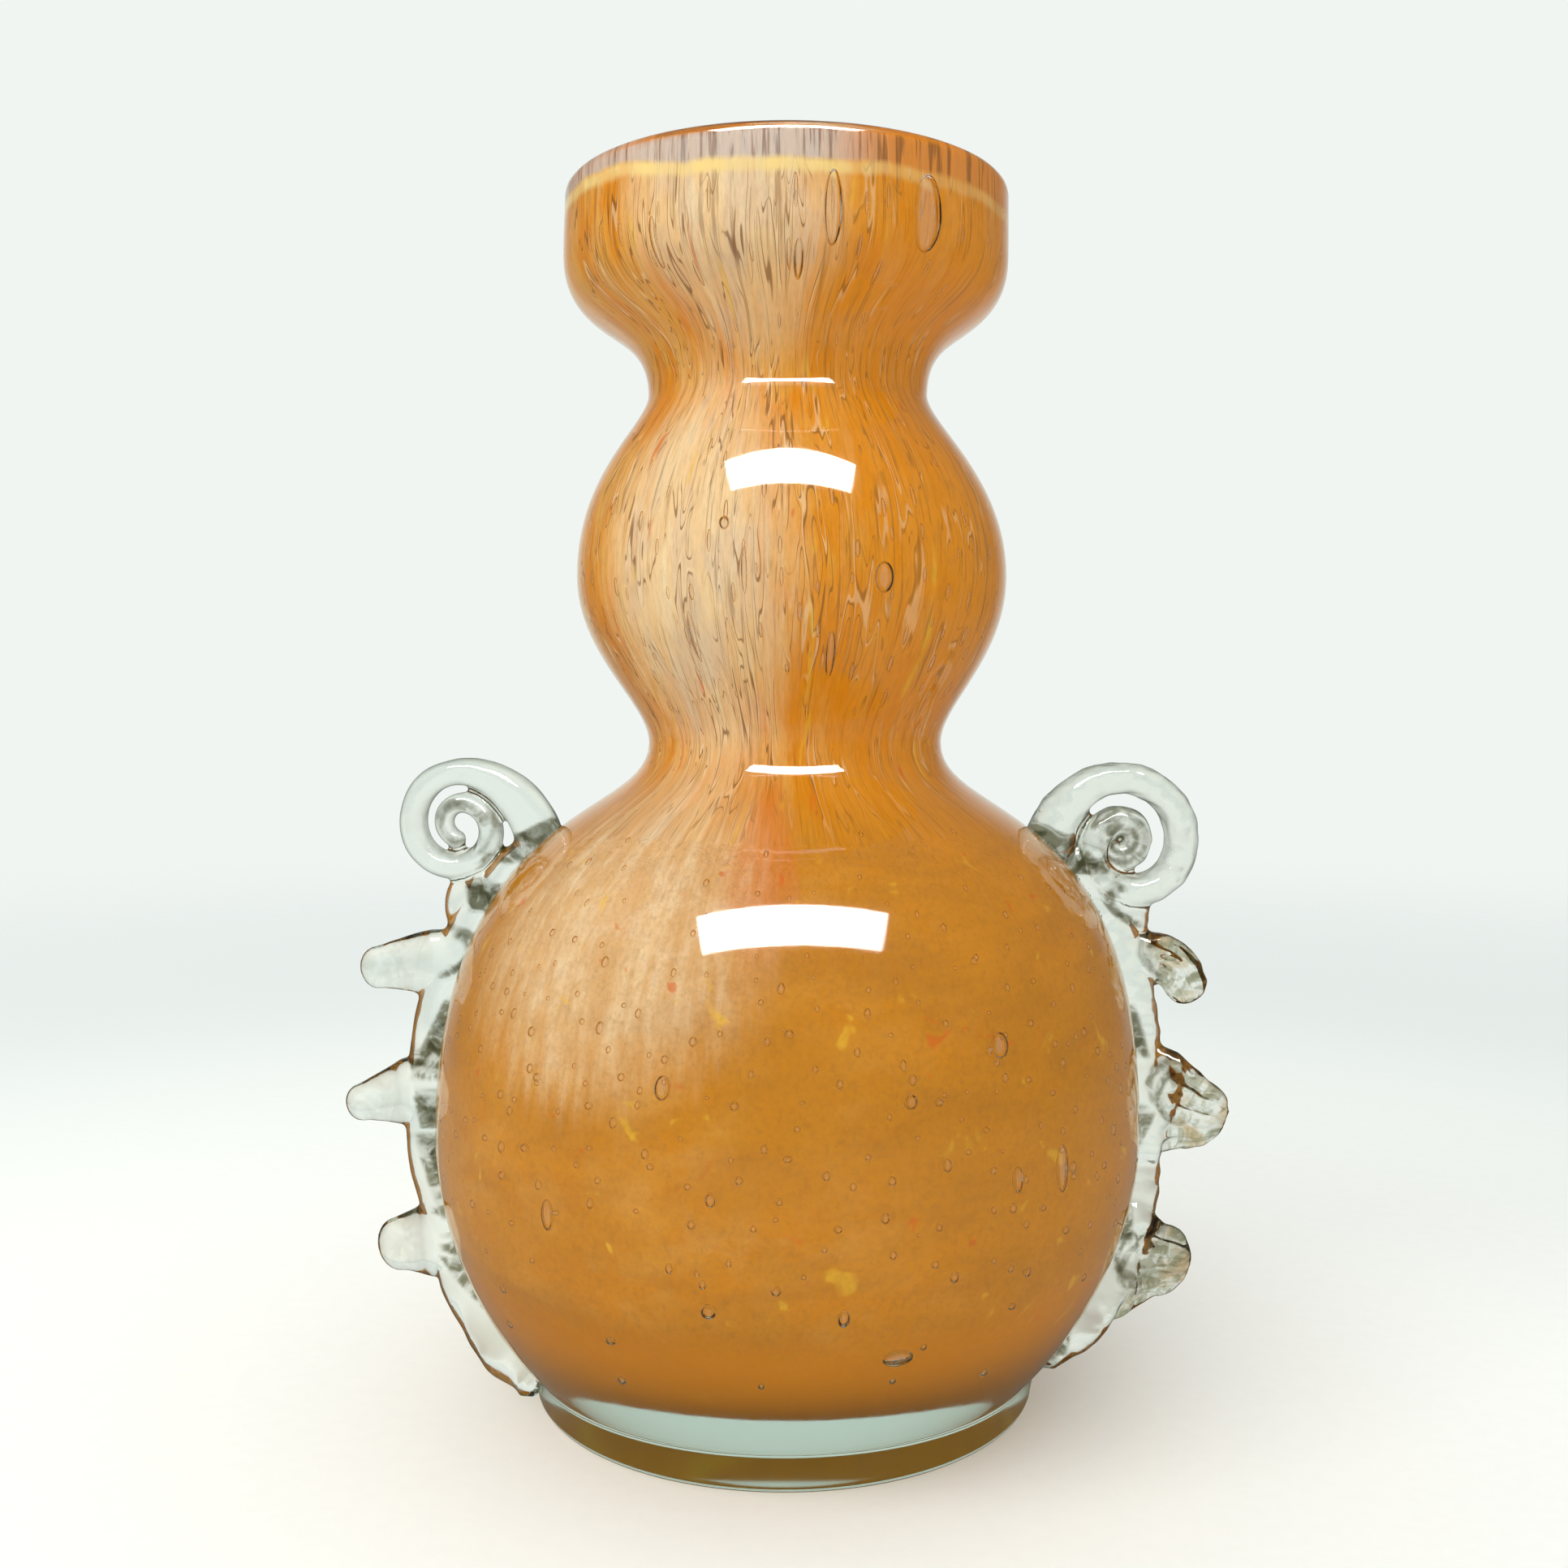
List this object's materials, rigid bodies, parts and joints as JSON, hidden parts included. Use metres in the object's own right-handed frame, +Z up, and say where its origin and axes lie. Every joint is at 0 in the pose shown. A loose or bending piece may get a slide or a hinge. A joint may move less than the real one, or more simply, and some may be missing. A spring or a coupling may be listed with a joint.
{
  "type": "glass vase",
  "caption": "Hand-blown cased glass vase: globe, bulb and cup mouth over a thick clear base, with a clear pinched trail ending in a rolled scroll up each side.",
  "frame": {"origin": "centre of the flat resting face", "axes": "+Z up along the axis of the body, -Y towards the front view, +X towards the right trail"},
  "size_m": [0.1652, 0.129, 0.22],
  "materials": {
    "clear_glass": "fire-polished clear glass with a faint aqua tint where it is thick",
    "orange_glass": "cloudy orange glass with tan streaks, seeds, yellow flecks and drawn-out bubbles",
    "gather_glass": "glossy clear inner glass",
    "trail_glass": "fire-polished clear glass, smooth on the left fins and ribbed on the right ones"
  },
  "bodies": {
    "root": {"clear_casing": "clear_glass", "colour_layer": "orange_glass", "inner_gather": "gather_glass", "left_trail": "trail_glass", "right_trail": "trail_glass"}
  },
  "joints": []
}
